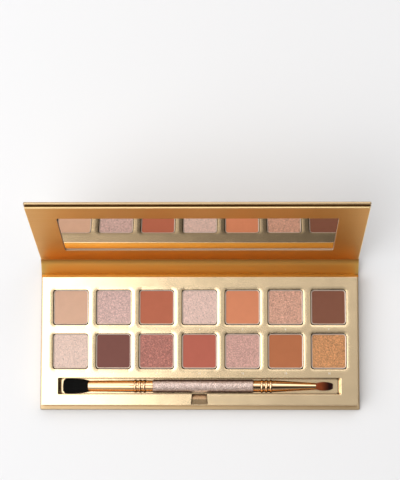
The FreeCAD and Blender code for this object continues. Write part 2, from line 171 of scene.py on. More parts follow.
class PaletteStage(bpy.types.PropertyGroup):
    """Camera and studio light."""

    lens: bpy.props.FloatProperty(name="Lens", description="Focal length on a 36 mm sensor",
                                  default=107.2, unit="CAMERA")
    camera_place: bpy.props.FloatVectorProperty(
        name="Camera place", description="Where the camera stands over the palette",
        default=(0.0155, -0.02547, 0.81159), unit="LENGTH")
    camera_turn: bpy.props.FloatVectorProperty(
        name="Camera turn", description="Tilt forward, sideways and roll, from straight down",
        default=(math.radians(5.906), math.radians(1.081), math.radians(-0.053)), unit="ROTATION")
    key_power: bpy.props.FloatProperty(name="Key power", description="Soft light over the left side",
                                       default=17.5, unit="POWER")
    back_power: bpy.props.FloatProperty(name="Back power", description="Soft light over the back",
                                        default=4.2, unit="POWER")
    horizon: bpy.props.FloatProperty(name="Horizon", description="Strength of the light from low down",
                                     default=0.39, min=0.0)
    zenith: bpy.props.FloatProperty(name="Zenith", description="Strength of the light from overhead",
                                    default=0.56, min=0.0)


# Mesh helpers


def local_box(node, place):
    """Lowest and highest corners of a CAD node, measured in a board's own frame."""
    back = place.inverted()
    points = [back @ vertex.co for vertex in frame["nodes"][node].data.vertices]
    low = Vector([min(point[axis] for point in points) for axis in range(3)])
    high = Vector([max(point[axis] for point in points) for axis in range(3)])
    return low, high


def rounded_ring(low, high, inset, corner, z, steps=6):
    """Points of a rounded rectangle, set in from two corners, all at one height."""
    radius = max(corner - inset, 0.02 * MM)
    left = low.x + inset + radius
    right = high.x - inset - radius
    near = low.y + inset + radius
    far = high.y - inset - radius
    points = []
    for quarter, (x, y) in enumerate(((right, far), (left, far), (left, near), (right, near))):
        for step in range(steps + 1):
            angle = math.radians(90.0 * (quarter + step / steps))
            points.append(Vector((x + radius * math.cos(angle), y + radius * math.sin(angle), z)))
    return points


def bridge(shape, lower, upper):
    """Four-sided faces between two closed loops of equally many vertices."""
    for index in range(len(lower)):
        following = (index + 1) % len(lower)
        shape.faces.new((lower[index], lower[following], upper[following], upper[index]))


def finished_mesh(name, shape):
    """A mesh from a shape that is complete, with its normals turned outward."""
    mesh = bpy.data.meshes.new(name)
    bmesh.ops.recalc_face_normals(shape, faces=shape.faces)
    shape.to_mesh(mesh)
    shape.free()
    return mesh


def mesh_from_rings(name, rings, closed=False):
    """A closed mesh through rings of equally many points, capped or joined end to end."""
    shape = bmesh.new()
    rows = [[shape.verts.new(point) for point in ring] for ring in rings]
    following = rows[1:]
    if closed:
        following.append(rows[0])
    else:
        shape.faces.new(rows[0])
        shape.faces.new(rows[-1])
    for lower, upper in zip(rows, following):
        bridge(shape, lower, upper)
    return finished_mesh(name, shape)


def add_piece(name, mesh, material, body, nodes=(), place=None, flat_caps=True):
    """Link a mesh as a finished piece that rides a body and stands for CAD nodes."""
    if place is not None:
        mesh.transform(place)
    mesh.materials.clear()
    mesh.materials.append(material)
    mesh.shade_smooth()
    piece = bpy.data.objects.new(name, mesh)
    bpy.context.scene.collection.objects.link(piece)
    if flat_caps:
        weighted = piece.modifiers.new("flat_faces", "WEIGHTED_NORMAL")
        weighted.keep_sharp = True
        weighted.weight = 100
    if body is not None:
        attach(piece, body)
    if nodes:
        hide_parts(*nodes)
    return piece


def edge_arc(radius, steps=5):
    """Insets and drops along a quarter-round edge, from its side to its face."""
    for step in range(steps + 1):
        angle = math.radians(90.0 * step / steps)
        yield radius * (1.0 - math.cos(angle)), radius * (1.0 - math.sin(angle))


def slab_mesh(name, low, high, corner, edge):
    """A flat board with rounded corners and rounded foil edges."""
    lower = [rounded_ring(low, high, inset, corner, low.z + drop) for inset, drop in edge_arc(edge)]
    upper = [rounded_ring(low, high, inset, corner, high.z - drop) for inset, drop in edge_arc(edge)]
    return mesh_from_rings(name, list(reversed(lower)) + upper)


# Node helpers


def add_node(tree, kind, inputs=None, **settings):
    """A node with its settings, and its inputs set or linked."""
    made = tree.nodes.new(kind)
    for key, value in settings.items():
        setattr(made, key, value)
    for key, value in (inputs or {}).items():
        socket = made.inputs[key]
        if isinstance(value, bpy.types.NodeSocket):
            tree.links.new(value, socket)
        else:
            socket.default_value = value
    return made


def linear(color):
    """A screen colour as the light values that a shader takes."""
    parts = [part / 12.92 if part <= 0.04045 else ((part + 0.055) / 1.055) ** 2.4 for part in color]
    return (*parts, 1.0)


def shaded(color, share):
    """A colour made lighter or darker by a share of its light."""
    return tuple(min(part * share, 1.0) for part in linear(color)[:3]) + (1.0,)


def shader_input(shader, key):
    """A shader's input, from a keyword such as base_color."""
    return shader.inputs[key.replace("_", " ").title().replace("Ior", "IOR")]


def new_material(name, **constants):
    """A material with its surface shader, and the shader's constant values set."""
    material = bpy.data.materials.new(name)
    material.use_nodes = True
    shader = material.node_tree.nodes["Principled BSDF"]
    for key, value in constants.items():
        shader_input(shader, key).default_value = value
    return material, material.node_tree, shader


def drive(tree, shader, **sources):
    """Link what varies over the surface to the shader's inputs."""
    for key, source in sources.items():
        tree.links.new(source, shader_input(shader, key))


def object_coordinates(tree, stretch=(1.0, 1.0, 1.0)):
    """Object coordinates in metres, scaled on each axis."""
    coordinates = add_node(tree, "ShaderNodeTexCoord")
    return add_node(tree, "ShaderNodeMapping",
                    {"Vector": coordinates.outputs["Object"], "Scale": stretch}).outputs["Vector"]


def noise_value(tree, scale, detail=3.0, roughness=0.55, distortion=0.0, stretch=(1.0, 1.0, 1.0)):
    """Soft noise over the object, with about as many features to the metre as its scale."""
    return add_node(tree, "ShaderNodeTexNoise",
                    {"Vector": object_coordinates(tree, stretch), "Scale": scale, "Detail": detail,
                     "Roughness": roughness, "Distortion": distortion}).outputs["Fac"]


def flake_cells(tree, scale):
    """Three random numbers for each of many small cells, as red, green and blue."""
    cells = add_node(tree, "ShaderNodeTexVoronoi", {"Vector": object_coordinates(tree), "Scale": scale})
    return add_node(tree, "ShaderNodeSeparateColor", {"Color": cells.outputs["Color"]}).outputs


def remap(tree, value, from_low, from_high, to_low, to_high):
    """A value carried from one range to another, and held at its ends."""
    return add_node(tree, "ShaderNodeMapRange",
                    {"Value": value, "From Min": from_low, "From Max": from_high,
                     "To Min": to_low, "To Max": to_high}).outputs["Result"]


def math_value(tree, operation, first, second=0.0):
    """The result of one sum."""
    return add_node(tree, "ShaderNodeMath", {0: first, 1: second}, operation=operation).outputs[0]


def math_tools(tree):
    """Short forms of the four sums that a tree uses most."""
    return [partial(math_value, tree, kind) for kind in ("ADD", "SUBTRACT", "MULTIPLY", "POWER")]


def mixed(tree, factor, first, second):
    """A colour between two colours."""
    return add_node(tree, "ShaderNodeMix", {0: factor, 6: first, 7: second}, data_type="RGBA").outputs[2]


def mottled(tree, factor, color, low, high):
    """A colour that wanders between two shares of its light."""
    return mixed(tree, factor, shaded(color, low), shaded(color, high))


def creviced(tree, color, shade_color, distance):
    """A colour that turns to a deeper one where close surfaces shut out the light."""
    shade = add_node(tree, "ShaderNodeAmbientOcclusion", {"Distance": distance}, samples=8)
    return mixed(tree, remap(tree, shade.outputs["AO"], 0.4, 0.9, 0.0, 1.0), shade_color, color)


def bumped(tree, shader, height, strength, distance):
    """Tilt the surface by a height, for a relief too fine to model."""
    bump = add_node(tree, "ShaderNodeBump",
                    {"Height": height, "Strength": strength, "Distance": distance})
    tree.links.new(bump.outputs["Normal"], shader.inputs["Normal"])


# Materials


def pressed_fold(tree, tone, fold_shade_color, axis, clear, shade_full):
    """Foil painted darker along the spine, as shade, from a clear place to where the shade is darkest by a
    fold.
    """
    offset = add_node(tree, "ShaderNodeVectorMath", {0: object_coordinates(tree), 1: axis},
                      operation="SUBTRACT").outputs["Vector"]
    reach = add_node(tree, "ShaderNodeVectorMath", {0: offset, 1: SPINE_REACH.normalized()},
                     operation="DOT_PRODUCT").outputs["Value"]
    return mixed(tree, remap(tree, reach, clear, shade_full, 0.0, 1.0), tone, linear(fold_shade_color))


def foil_material(name, color, low_rough, high_rough, crevice, fold=None):
    """Satin gold foil on paper: fine lines along the palette, a slight grain, painted shade in its creases
    and, when a fold is given, painted shade towards that fold.
    """
    material, tree, shader = new_material(name, metallic=1.0)
    lines = noise_value(tree, 1.0, 4.0, stretch=(8.0, 2600.0, 2600.0))
    cloud = noise_value(tree, 45.0)
    grain = noise_value(tree, 5200.0, 2.0)
    tone = mixed(tree, lines, mottled(tree, cloud, color, 0.93, 1.06), linear(color))
    if fold is not None:
        tone = pressed_fold(tree, tone, *fold)
    drive(tree, shader, base_color=creviced(tree, tone, linear(FOIL_SHADE), crevice),
          roughness=remap(tree, lines, 0.3, 0.7, low_rough, high_rough))
    bumped(tree, shader, math_value(tree, "ADD", lines, grain), 0.06, 0.01 * MM)
    return material


def tray_material(colors):
    """Metallised formed plastic: pale gold with faint waves and painted shade in its hollows."""
    material, tree, shader = new_material("tray_gold", metallic=1.0)
    cloud = noise_value(tree, 38.0)
    peel = noise_value(tree, 140.0, 2.0)
    tone = mottled(tree, cloud, colors.tray_gold, 0.95, 1.04)
    drive(tree, shader, base_color=creviced(tree, tone, linear(TRAY_SHADE), 1.6 * MM),
          roughness=remap(tree, peel, 0.3, 0.7, 0.18, 0.23))
    bumped(tree, shader, peel, 0.2, 0.03 * MM)
    return material


def metal_material(name, color, low_rough, high_rough, crevice, turned=False, metallic=1.0):
    """Bright metal with painted shade in its crevices, either drawn smooth or turned with fine rings along X.
    """
    stretch = (9000.0, 60.0, 60.0) if turned else (240.0, 240.0, 240.0)
    material, tree, shader = new_material(name, metallic=metallic)
    marks = noise_value(tree, 1.0, stretch=stretch)
    tone = mottled(tree, marks, color, 0.92, 1.04)
    drive(tree, shader, base_color=creviced(tree, tone, linear(METAL_SHADE), crevice),
          roughness=remap(tree, marks, 0.3, 0.7, low_rough, high_rough))
    bumped(tree, shader, marks, 0.03, 0.005 * MM)
    return material


def mirror_material():
    """Silvered glass, faintly warm, with a trace of haze."""
    material, tree, shader = new_material("mirror_silver", metallic=1.0)
    haze = noise_value(tree, 60.0, 4.0)
    drive(tree, shader, base_color=mixed(tree, haze, (0.85, 0.80, 0.75, 1.0), (0.90, 0.84, 0.78, 1.0)),
          roughness=remap(tree, haze, 0.35, 0.75, 0.006, 0.03))
    return material


def walled_powder(tree, tone, color):
    """Powder painted darker at its edge, as shade from the pan's wall."""
    return creviced(tree, tone, shaded(color, 0.55), 0.7 * MM)


def matte_powder_material(name, color):
    """Pressed matte powder: soft mottling, a fine dry grain and painted shade at its edge."""
    material, tree, shader = new_material(name, specular_ior_level=0.18)
    cloud = noise_value(tree, 260.0, 4.0)
    grain = noise_value(tree, 7000.0, 2.0)
    speck = remap(tree, grain, 0.35, 0.65, 0.0, 0.35)
    tone = mixed(tree, speck, mottled(tree, cloud, color, 0.93, 1.07), shaded(color, 0.86))
    drive(tree, shader, base_color=walled_powder(tree, tone, color),
          roughness=remap(tree, grain, 0.3, 0.7, 0.78, 0.95))
    bumped(tree, shader, grain, 0.22, 0.03 * MM)
    return material


def shimmer_powder_material(name, color, sparkle):
    """Pressed shimmer powder: a net of crinkles and pearl flakes painted in a lighter copy of its colour as
    glints, over a darker ground, with painted shade at its edge.
    """
    material, tree, shader = new_material(name, specular_ior_level=0.5)
    swirl = noise_value(tree, 1500.0, 1.0, 0.5, 1.2)
    offset = math_value(tree, "ABSOLUTE", math_value(tree, "SUBTRACT", swirl, 0.5))
    crinkle = remap(tree, offset, 0.01, 0.06, 1.0, 0.0)
    cloud = noise_value(tree, 420.0)
    ground = mottled(tree, cloud, color, 1.0 - 0.28 * sparkle, 1.0 - 0.04 * sparkle)
    # A lighter copy of the powder's colour, painted on crinkles and flakes as a glint
    painted_glint = shaded(color, min(1.0 + 0.85 * sparkle, 1.0 / max(linear(color)[:3])))
    shadow = shaded(color, max(1.0 - 0.55 * sparkle, 0.1))
    spark = flake_cells(tree, 2300.0)
    tone = mixed(tree, crinkle, ground, painted_glint)
    tone = mixed(tree, remap(tree, spark["Red"], 0.7, 1.0, 0.0, 0.7), tone, painted_glint)
    tone = mixed(tree, remap(tree, spark["Green"], 0.75, 1.0, 0.0, 0.6), tone, shadow)
    drive(tree, shader, base_color=walled_powder(tree, tone, color),
          metallic=remap(tree, spark["Blue"], 0.0, 1.0, 0.0, 0.35),
          roughness=remap(tree, spark["Red"], 0.0, 1.0, 0.6, 0.35))
    bumped(tree, shader, crinkle, 0.6, 0.1 * MM)
    return material


def lacquer_material(colors):
    """Glitter lacquer: a mauve ground packed with small bright cells under a clear coat, with painted shade
    in its crevices.
    """
    material, tree, shader = new_material("glitter_lacquer", coat_weight=0.4, coat_roughness=0.12)
    cell = flake_cells(tree, 3000.0)
    light = remap(tree, cell["Red"], 0.25, 0.95, 0.0, 1.0)
    tone = mixed(tree, light, shaded(colors.lacquer, 0.7), shaded(colors.flake, 0.95))
    drive(tree, shader, base_color=creviced(tree, tone, linear(METAL_SHADE), 2.5 * MM),
          metallic=remap(tree, cell["Green"], 0.0, 1.0, 0.2, 0.75),
          roughness=remap(tree, cell["Blue"], 0.0, 1.0, 0.25, 0.5))
    bumped(tree, shader, cell["Red"], 0.35, 0.05 * MM)
    return material


def bristle_material(name, root_color, tip_color, root_x, tip_x):
    """Soft fibre that changes colour along the brush, from its root to its tip."""
    material, tree, shader = new_material(name, roughness=0.6, specular_ior_level=0.2)
    along = add_node(tree, "ShaderNodeSeparateXYZ", {"Vector": object_coordinates(tree)}).outputs["X"]
    share = remap(tree, along, root_x, tip_x, 0.0, 1.0)
    strand = noise_value(tree, 1.0, stretch=(300.0, 6000.0, 6000.0))
    root = mottled(tree, strand, root_color, 0.75, 1.35)
    tip = mottled(tree, strand, tip_color, 0.75, 1.35)
    drive(tree, shader, base_color=mixed(tree, share, root, tip))
    return material


def plain_material(name, color, roughness, metallic=0.0):
    """A hidden or minor surface with a little mottling."""
    material, tree, shader = new_material(name, metallic=metallic)
    cloud = noise_value(tree, 900.0)
    drive(tree, shader, base_color=mottled(tree, cloud, color, 0.88, 1.08),
          roughness=remap(tree, cloud, 0.3, 0.7, roughness - 0.08, roughness + 0.08))
    return material


def dress_node(node, material):
    """Give a CAD node that keeps its shape a finished material."""
    mesh = frame["nodes"][node].data
    mesh.materials.clear()
    mesh.materials.append(material)


# Operators


class PALETTE_OT_case(bpy.types.Operator):
    """Wrap the base, spine and lid boards in gold foil with rounded edges"""

    bl_idname = "palette.case"
    bl_label = "Case boards"

    def execute(self, context):
        sizes = context.scene.palette_sizes
        colors = context.scene.palette_colors
        # Where the painted shade on the spine's foil starts and is darkest, from the lid's hinge
        crease_shade_start = -4.5 * MM
        crease_shade_end = -1.9 * MM
        outside = foil_material("case_foil", colors.case_foil, 0.36, 0.46, 1.3 * MM)
        inside = foil_material("spine_foil", colors.spine_foil, 0.34, 0.46, 1.5 * MM,
                               (colors.crease_foil, LID_AXIS, crease_shade_start, crease_shade_end))
        boards = (("base", BASE_FRAME, outside), ("spine", SPINE_FRAME, inside), ("lid", LID_FRAME, outside))
        for body, place, material in boards:
            node = body + "_wrap"
            low, high = local_box(node, place)
            mesh = slab_mesh(node + "_foil", low, high, sizes.board_corner, sizes.board_edge)
            add_piece(node + "_foil", mesh, material, body, [node], place)
            mesh.materials.append(outside)
            inward = place.to_3x3() @ Vector((0.0, 0.0, 1.0))
            for face in mesh.polygons:
                face.material_index = 1 if face.normal.dot(inward) < -0.3 else 0
        return {"FINISHED"}


class PALETTE_OT_folds(bpy.types.Operator):
    """Make the folded foil strips that bend along the two hinges"""

    bl_idname = "palette.folds"
    bl_label = "Hinge folds"

    def execute(self, context):
        sizes = context.scene.palette_sizes
        colors = context.scene.palette_colors
        # Where the painted shade on the foot's foil starts and is darkest, from the base's hinge
        foot_shade_start = 1.1 * MM
        foot_shade_end = -0.1 * MM
        # The lid's fold strip is painted in the darker crease gold as shade
        crease = foil_material("crease_foil", colors.crease_foil, 0.4, 0.5, 2.0 * MM)
        foot = foil_material("foot_foil", colors.spine_foil, 0.34, 0.46, 1.5 * MM,
                             (colors.foot_foil, BASE_AXIS, foot_shade_start, foot_shade_end))
        spine_end = Matrix.Translation(LID_AXIS) @ SPINE_FRAME.to_3x3().to_4x4()
        self.make_fold(foot, "base_fold", "base", "spine", BASE_FRAME, SPINE_ANGLE,
                       sizes.foot_reach, sizes.foot_thickness / 2)
        self.make_fold(crease, "lid_fold", "spine", "lid", spine_end, LID_TURN,
                       sizes.fold_reach, sizes.fold_thickness / 2)
        return {"FINISHED"}

    def make_fold(self, foil, node, first, second, place, turn, reach, half):
        """One strip, bent about its axis from the first board's direction to the second's.

        The mesh starts with its two end caps, then four faces a step, the outer one first.
        """
        low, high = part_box(node)
        corners = ((low.x, -half), (high.x, -half), (high.x, half), (low.x, half))
        steps = 20
        rings = []
        for step in range(steps + 1):
            share = step / steps
            ease = share * share * (3.0 - 2.0 * share)
            bend = Matrix.Rotation(ease * turn, 4, "X")
            along = (2.0 * share - 1.0) * reach
            rings.append([bend @ Vector((x, along, z)) for x, z in corners])
        mesh = mesh_from_rings(node + "_strip", rings)
        piece = add_piece(node + "_strip", mesh, foil, None, [node], place, False)
        mesh.materials.append(bpy.data.materials["case_foil"])
        for face in list(mesh.polygons)[2::4]:
            face.material_index = 1
        mesh.set_sharp_from_angle(angle=math.radians(50.0))
        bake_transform(piece)


class PALETTE_OT_liner(bpy.types.Operator):
    """Make the lid's foil-covered liner with its mirror window"""

    bl_idname = "palette.liner"
    bl_label = "Lid liner"

    def execute(self, context):
        sizes = context.scene.palette_sizes
        colors = context.scene.palette_colors
        foil = foil_material("liner_foil", colors.liner_foil, 0.34, 0.46, 0.5 * MM)
        # The liner's outer edge is painted in a paler gold as a highlight
        rim = foil_material("liner_rim", colors.liner_rim, 0.34, 0.46, 0.5 * MM)
        core = plain_material("board_core", colors.board_core, 0.7)
        low, high = local_box("lid_liner", LID_FRAME)
        high.y += sizes.liner_overhang
        mirror_low, mirror_high = local_box("mirror", LID_FRAME)
        gap = Vector((0.15 * MM, 0.15 * MM, 0.0))
        window_low = mirror_low - gap
        window_high = mirror_high + gap
        rings = [rounded_ring(low, high, 0.0, sizes.board_corner, low.z)]
        for inset, drop in edge_arc(sizes.liner_edge):
            rings.append(rounded_ring(low, high, inset, sizes.board_corner, high.z - drop))
        last_outer = len(rings) - 1
        for inset, drop in reversed(list(edge_arc(sizes.window_edge))):
            rings.append(rounded_ring(window_low, window_high, -inset,
                                      sizes.window_corner, high.z - drop))
        first_wall = len(rings) - 4
        rings.append(rounded_ring(window_low, window_high, 0.0, sizes.window_corner, low.z))
        mesh = mesh_from_rings("lid_liner_foil", rings, closed=True)
        add_piece("lid_liner_foil", mesh, foil, "lid", ["lid_liner"], LID_FRAME)
        mesh.materials.append(rim)
        mesh.materials.append(core)
        for face in mesh.polygons:
            strip = face.index // len(rings[0])
            if strip < last_outer:
                face.material_index = 1
            elif first_wall <= strip < len(rings) - 1:
                face.material_index = 2
        return {"FINISHED"}


class PALETTE_OT_mirror(bpy.types.Operator):
    """Silver the mirror in the lid"""

    bl_idname = "palette.mirror"
    bl_label = "Mirror"

    def execute(self, context):
        dress_node("mirror", mirror_material())
        return {"FINISHED"}


class PALETTE_OT_tray(bpy.types.Operator):
    """Finish the formed tray in pale gold"""

    bl_idname = "palette.tray"
    bl_label = "Tray"

    def execute(self, context):
        dress_node("tray", tray_material(context.scene.palette_colors))
        return {"FINISHED"}


class PALETTE_OT_numbers(bpy.types.Operator):
    """Print a plain number on the tray in front of each pan"""

    bl_idname = "palette.numbers"
    bl_label = "Pan numbers"

    def execute(self, context):
        height = context.scene.palette_sizes.number_height
        ink = plain_material("number_ink", context.scene.palette_colors.print_ink, 0.6)
        ink_depth = 0.03 * MM
        pan_gap = 2.77 * MM
        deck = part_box("tray")[1].z
        whole = bmesh.new()
        for number, node in enumerate(PAN_NODES, start=1):
            low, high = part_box(node)
            text = bpy.data.curves.new("number", "FONT")
            text.body = str(number)
            text.size = height
            text.align_x = "CENTER"
            text.align_y = "CENTER"
            text.extrude = ink_depth
            holder = bpy.data.objects.new("number", text)
            mesh = bpy.data.meshes.new_from_object(holder)
            mesh.transform(Matrix.Translation(((low.x + high.x) / 2, low.y - pan_gap, deck)))
            whole.from_mesh(mesh)
            bpy.data.objects.remove(holder)
            bpy.data.meshes.remove(mesh)
        bmesh.ops.remove_doubles(whole, verts=whole.verts, dist=0.001 * MM)
        printed = finished_mesh("tray_numbers", whole)
        add_piece("tray_numbers", printed, ink, "base", flat_caps=False)
        printed.shade_flat()
        return {"FINISHED"}


class PALETTE_OT_pans(bpy.types.Operator):
    """Press the metal pans, each with a rim that slopes in to its powder"""

    bl_idname = "palette.pans"
    bl_label = "Pans"

    def execute(self, context):
        sizes = context.scene.palette_sizes
        colors = context.scene.palette_colors
        tin = metal_material("pan_tin", colors.pan_tin, 0.3, 0.4, 0.8 * MM, metallic=0.5)
        for node in PAN_NODES:
            low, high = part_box(node)
            mesh = self.pan_mesh(node, low, high, sizes.pan_corner, sizes.pan_wall)
            add_piece(node + "_tin", mesh, tin, "base", [node])
        return {"FINISHED"}

    def pan_mesh(self, name, low, high, corner, wall):
        """A thin dish: rounded base edge, upright wall, rim that slopes in to the powder, and flat floor.

        The slope's points are how far each is set in and dropped, in millimetres.
        """
        foot = 0.5 * MM
        lip = 0.08 * MM
        slope = ((0.1, 0.0), (0.28, 0.06), (0.46, 0.15), (0.46, 0.19), (0.3, 0.25))
        rings = []
        for inset, drop in reversed(list(edge_arc(foot))):
            rings.append(rounded_ring(low, high, inset, corner, low.z + drop))
        for inset, drop in edge_arc(lip):
            rings.append(rounded_ring(low, high, inset, corner, high.z - drop))
        for inset, drop in slope:
            rings.append(rounded_ring(low, high, inset * MM, corner, high.z - drop * MM))
        rings.append(rounded_ring(low, high, wall, corner, low.z + wall))
        return mesh_from_rings(name + "_tin", rings)


class PALETTE_OT_powders(bpy.types.Operator):
    """Press the powder cakes, smooth for matte shades and wrinkled for shimmer shades"""

    bl_idname = "palette.powders"
    bl_label = "Powders"

    def execute(self, context):
        sizes = context.scene.palette_sizes
        for node, (title, color, sparkle) in zip(POWDER_NODES, POWDERS):
            name = title.lower().replace(" ", "_") + "_powder"
            low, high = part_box(node)
            if sparkle > 0.0:
                powder = shimmer_powder_material(name, color, sparkle)
                mesh = self.cake_mesh(name, low, high, sizes, sizes.shimmer_relief, count=72, scale=1000.0)
            else:
                powder = matte_powder_material(name, color)
                mesh = self.cake_mesh(name, low, high, sizes, sizes.matte_relief, count=36, scale=200.0)
            add_piece(name, mesh, powder, "base", [node], flat_caps=False)
        return {"FINISHED"}

    def cake_mesh(self, name, low, high, sizes, relief, count, scale):
        """A cake with a softened rim and a pressed top that waves by a small relief."""
        rim = sizes.powder_edge
        corner = sizes.pan_corner - sizes.pan_wall - rim
        center = (low + high) / 2
        half = (high.x - low.x) / 2 - rim
        mean_wave = 0.35
        across = [(2 * index / count - 1) * half for index in range(count + 1)]
        shape = bmesh.new()
        top = []
        for row in across:
            line = []
            for column in across:
                x, y = rounded_place(column, row, half, corner)
                place = Vector((center.x + x, center.y + y, high.z))
                place.z += relief * (abs(noise.noise(place * scale)) - mean_wave)
                line.append(shape.verts.new(place))
            top.append(line)
        for lower, upper in zip(top, top[1:]):
            for index in range(count):
                shape.faces.new((lower[index], lower[index + 1], upper[index + 1], upper[index]))
        right = [line[-1] for line in top[:-1]]
        left = [line[0] for line in top[:0:-1]]
        edge = top[0][:-1] + right + top[-1][:0:-1] + left
        outward = [self.outward(vertex.co - center, half, corner) for vertex in edge]
        places = [vertex.co.copy() for vertex in edge]
        steps = [(rim - inset, drop) for inset, drop in reversed(list(edge_arc(rim)))][1:]
        loops = [edge]
        for out, drop in steps:
            loops.append([shape.verts.new(place + side * out - Vector((0.0, 0.0, drop)))
                          for place, side in zip(places, outward)])
        loops.append([shape.verts.new((vertex.co.x, vertex.co.y, low.z)) for vertex in loops[-1]])
        for upper, lower in zip(loops, loops[1:]):
            bridge(shape, lower, upper)
        shape.faces.new(loops[-1])
        return finished_mesh(name, shape)

    def outward(self, place, half, corner):
        """The sideways direction out of a rounded square at a place on its edge."""
        x = max(abs(place.x) - (half - corner), 0.0)
        y = max(abs(place.y) - (half - corner), 0.0)
        return Vector((math.copysign(x, place.x), math.copysign(y, place.y), 0.0)).normalized()


def rounded_place(x, y, half, corner):
    """A place in a square, drawn in where it lies outside the square's rounded corner."""
    over_x = max(abs(x) - (half - corner), 0.0)
    over_y = max(abs(y) - (half - corner), 0.0)
    reach = math.hypot(over_x, over_y)
    if reach > corner:
        x -= math.copysign(over_x * (1.0 - corner / reach), x)
        y -= math.copysign(over_y * (1.0 - corner / reach), y)
    return x, y


class PALETTE_OT_brush(bpy.types.Operator):
    """Finish the brush's handle and ferrules, and set glitter flakes in the lacquer"""

    bl_idname = "palette.brush"
    bl_label = "Brush handle and ferrules"

    def execute(self, context):
        colors = context.scene.palette_colors
        dress_node("brush_handle", lacquer_material(colors))
        metal = metal_material("rose_gold", colors.rose_gold, 0.04, 0.1, 1.5 * MM, turned=True)
        for node in ("wide_ferrule", "narrow_ferrule"):
            dress_node(node, metal)
        flake = metal_material("glitter_flake", colors.flake, 0.12, 0.3, 2.5 * MM)
        low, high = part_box("brush_handle")
        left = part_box("wide_ferrule")[1].x
        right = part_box("narrow_ferrule")[0].x
        surface = self.lacquer_surface(left, right, low, high)
        values = {"Density": 1.5e6, "Radius": context.scene.palette_sizes.flake_radius, "Seed": 7,
                  "Material": flake}
        flakes = baked_tree("handle_flakes", surface, flake_tree(), values)
        add_piece("handle_flakes", flakes, flake, "brush", flat_caps=False)
        flakes.shade_flat()
        return {"FINISHED"}

    def lacquer_surface(self, left, right, low, high):
        """The open cylinder of lacquer that the flakes lie on."""
        center = (low + high) / 2
        radius = (high.z - low.z) / 2
        sides = 32
        end = 0.5 * MM
        turns = [math.radians(360.0 * side / sides) for side in range(sides)]
        shape = bmesh.new()
        rows = []
        for x in (left + end, right - end):
            rows.append([shape.verts.new((x, center.y + radius * math.cos(angle),
                                          center.z + radius * math.sin(angle))) for angle in turns])
        for side in range(sides):
            following = (side + 1) % sides
            shape.faces.new((rows[0][side], rows[1][side], rows[1][following], rows[0][following]))
        return finished_mesh("handle_flakes", shape)


def tree_with_inputs(name, sockets):
    """A geometry tree with named inputs, and the sockets that give their values."""
    tree = bpy.data.node_groups.new(name, "GeometryNodeTree")
    tree.interface.new_socket(name="Geometry", in_out="INPUT", socket_type="NodeSocketGeometry")
    for title, kind in sockets:
        tree.interface.new_socket(name=title, in_out="INPUT", socket_type="NodeSocket" + kind)
    tree.interface.new_socket(name="Geometry", in_out="OUTPUT", socket_type="NodeSocketGeometry")
    given = tree.nodes.new("NodeGroupInput").outputs
    return tree, given


def end_tree(tree, given, geometry):
    """Realize what a tree made, give it its material and send it out."""
    realized = add_node(tree, "GeometryNodeRealizeInstances", {"Geometry": geometry})
    dressed = add_node(tree, "GeometryNodeSetMaterial",
                       {"Geometry": realized.outputs["Geometry"], "Material": given["Material"]})
    result = tree.nodes.new("NodeGroupOutput")
    tree.links.new(dressed.outputs["Geometry"], result.inputs["Geometry"])


def baked_tree(name, surface, tree, values):
    """The plain mesh that a tree makes on a surface, with named values for its inputs."""
    carrier = bpy.data.objects.new(name, surface)
    bpy.context.scene.collection.objects.link(carrier)
    modifier = carrier.modifiers.new(tree.name, "NODES")
    modifier.node_group = tree
    for item in tree.interface.items_tree:
        if item.item_type == "SOCKET" and item.in_out == "INPUT" and item.name in values:
            modifier[item.identifier] = values[item.name]
    depsgraph = bpy.context.evaluated_depsgraph_get()
    mesh = bpy.data.meshes.new_from_object(carrier.evaluated_get(depsgraph), depsgraph=depsgraph)
    bpy.data.objects.remove(carrier)
    mesh.name = name
    return mesh


def random_value(tree, low, high, seed, kind="FLOAT"):
    """A random number or vector for each point, from a fixed seed."""
    first, output = {"FLOAT": (2, 1), "FLOAT_VECTOR": (0, 0)}[kind]
    return add_node(tree, "FunctionNodeRandomValue", {first: low, first + 1: high, "Seed": seed},
                    data_type=kind).outputs[output]


def flake_tree():
    """Six-sided flakes scattered over a surface, each tilted and sized at random."""
    tree, given = tree_with_inputs("glitter_flakes", [("Density", "Float"), ("Radius", "Float"),
                                                      ("Seed", "Int"), ("Material", "Material")])
    points = add_node(tree, "GeometryNodeDistributePointsOnFaces",
                      {"Mesh": given["Geometry"], "Density": given["Density"], "Seed": given["Seed"]})
    flake = add_node(tree, "GeometryNodeMeshCylinder",
                     {"Vertices": 6, "Radius": given["Radius"], "Depth": 0.03 * MM}, fill_type="NGON")
    placed = add_node(tree, "GeometryNodeInstanceOnPoints",
                      {"Points": points.outputs["Points"], "Instance": flake.outputs["Mesh"],
                       "Rotation": points.outputs["Rotation"],
                       "Scale": random_value(tree, 0.45, 1.1, given["Seed"])})
    lean = 0.28
    spin = 3.0
    tilt = random_value(tree, (-lean, -lean, -spin), (lean, lean, spin), given["Seed"], "FLOAT_VECTOR")
    turned = add_node(tree, "GeometryNodeRotateInstances",
                      {"Instances": placed.outputs["Instances"], "Rotation": tilt})
    end_tree(tree, given, turned.outputs["Instances"])
    return tree


